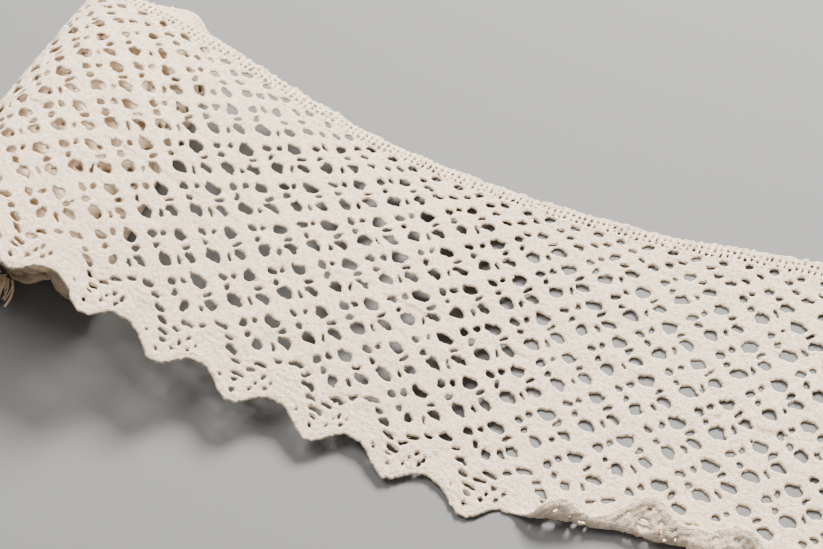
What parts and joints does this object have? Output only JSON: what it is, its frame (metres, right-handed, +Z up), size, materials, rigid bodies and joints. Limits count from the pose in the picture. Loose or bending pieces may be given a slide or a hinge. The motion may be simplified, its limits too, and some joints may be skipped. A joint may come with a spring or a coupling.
{
  "type": "roll of lace trim",
  "caption": "Loose flat roll of wide cotton lace trim with a straight footing edge and a toothed edge, its outer turn let out as a loose end.",
  "frame": {"origin": "point on the roll's flat underside, midway between its left side and the run, on the lace's middle rose row", "axes": "+Z up; +X along the loose end, away from the roll; +Y towards the straight footing edge"},
  "size_m": [0.3175, 0.1407, 0.0417],
  "materials": {
    "wound_lace": "matt undyed cotton lace",
    "lace": "matt undyed cotton lace"
  },
  "bodies": {
    "root": {"wound_roll": "wound_lace", "lace_band": "lace"}
  },
  "joints": []
}
